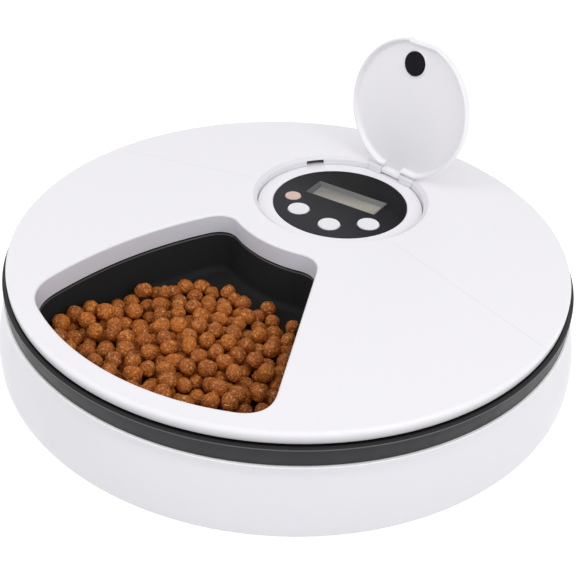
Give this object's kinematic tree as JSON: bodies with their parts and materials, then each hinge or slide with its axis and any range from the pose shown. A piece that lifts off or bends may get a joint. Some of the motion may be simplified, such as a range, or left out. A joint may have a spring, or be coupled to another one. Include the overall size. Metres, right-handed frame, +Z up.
{
  "type": "timed pet feeder",
  "caption": "Round battery-powered pet feeder: a turning bowl tray under a lift-off cover with a feeding window, a push-button timer and a flip lid.",
  "frame": {"origin": "on the tray's turning axis, at the height of the surface that the feet rest on", "axes": "+Z up along the turning axis, -Y towards the front with the feeding window at the front left, +X to the right"},
  "size_m": [0.3456, 0.3456, 0.1456],
  "materials": {
    "white_plastic": "satin white",
    "band_plastic": "satin dark grey",
    "tray_plastic": "smooth near-black",
    "panel_gloss": "gloss dark grey",
    "button_plastic": "satin pale grey",
    "set_button_plastic": "satin pale pink",
    "display_frame": "dark frame with an olive-beige display",
    "clear_lens": "clear",
    "circuit_board": "green board",
    "switch_metal": "stamped metal",
    "steel": "bare",
    "rubber": "matt black",
    "glide_plastic": "smooth low-friction ring",
    "cell_wrap": "plain wrapped cell",
    "food": "rough dry kibble"
  },
  "bodies": {
    "base": {"base_shell": "white_plastic", "rim_band": "band_plastic", "glide_ring": "glide_plastic", "drive_post": "white_plastic", "post_screw_1": "steel", "post_screw_2": "steel", "post_screw_3": "steel", "gear_motor": "steel", "motor_retainer": "white_plastic", "battery_cell_1": "cell_wrap", "battery_cell_2": "cell_wrap", "battery_cell_3": "cell_wrap", "battery_cell_4": "cell_wrap", "contact_plate_inner": "steel", "contact_plate_outer": "steel", "foot_1": "rubber", "foot_2": "rubber", "foot_3": "rubber", "foot_4": "rubber"},
    "tray": {"food_tray": "tray_plastic", "food_portion": "food", "drive_shaft": "steel"},
    "cover": {"top_cover": "white_plastic", "hinge_pin": "steel", "control_housing": "white_plastic", "housing_screw_1": "steel", "housing_screw_2": "steel", "housing_screw_3": "steel", "housing_screw_4": "steel", "fascia_panel": "panel_gloss", "key_switch_left": "switch_metal", "key_switch_middle": "switch_metal", "key_switch_right": "switch_metal", "key_switch_set": "switch_metal", "lcd_module": "display_frame", "lcd_window": "clear_lens", "control_board": "circuit_board"},
    "lid": {"flip_lid": "white_plastic", "lid_pad": "rubber"},
    "door": {"battery_door": "white_plastic"},
    "left_key": {"button_left": "button_plastic"},
    "middle_key": {"button_middle": "button_plastic"},
    "right_key": {"button_right": "button_plastic"},
    "set_key": {"button_set": "set_button_plastic"}
  },
  "joints": [
    {"name": "tray_spin", "type": "hinge", "parent": "base", "child": "tray", "pos_m": [0, 0, 0.0419], "axis": [0, 0, 1], "continuous": true},
    {"name": "cover_lift", "type": "slide", "parent": "base", "child": "cover", "axis": [0, 0, 1], "range_m": [0, 0.1]},
    {"name": "lid_hinge", "type": "hinge", "parent": "cover", "child": "lid", "pos_m": [0.06732, 0.09086, 0.0546], "axis": [-0.7254, 0.6884, 0], "range_deg": [-96, 0]},
    {"name": "door_slide", "type": "slide", "parent": "base", "child": "door", "axis": [0, 1, 0], "range_m": [0, 0.012]},
    {"name": "left_press", "type": "slide", "parent": "cover", "child": "left_key", "axis": [0, 0, -1], "range_m": [0, 0.0006], "stiffness_N_per_m": 600},
    {"name": "middle_press", "type": "slide", "parent": "cover", "child": "middle_key", "axis": [0, 0, -1], "range_m": [0, 0.0006], "stiffness_N_per_m": 600},
    {"name": "right_press", "type": "slide", "parent": "cover", "child": "right_key", "axis": [0, 0, -1], "range_m": [0, 0.0006], "stiffness_N_per_m": 600},
    {"name": "set_press", "type": "slide", "parent": "cover", "child": "set_key", "axis": [0, 0, -1], "range_m": [0, 0.0006], "stiffness_N_per_m": 600}
  ]
}
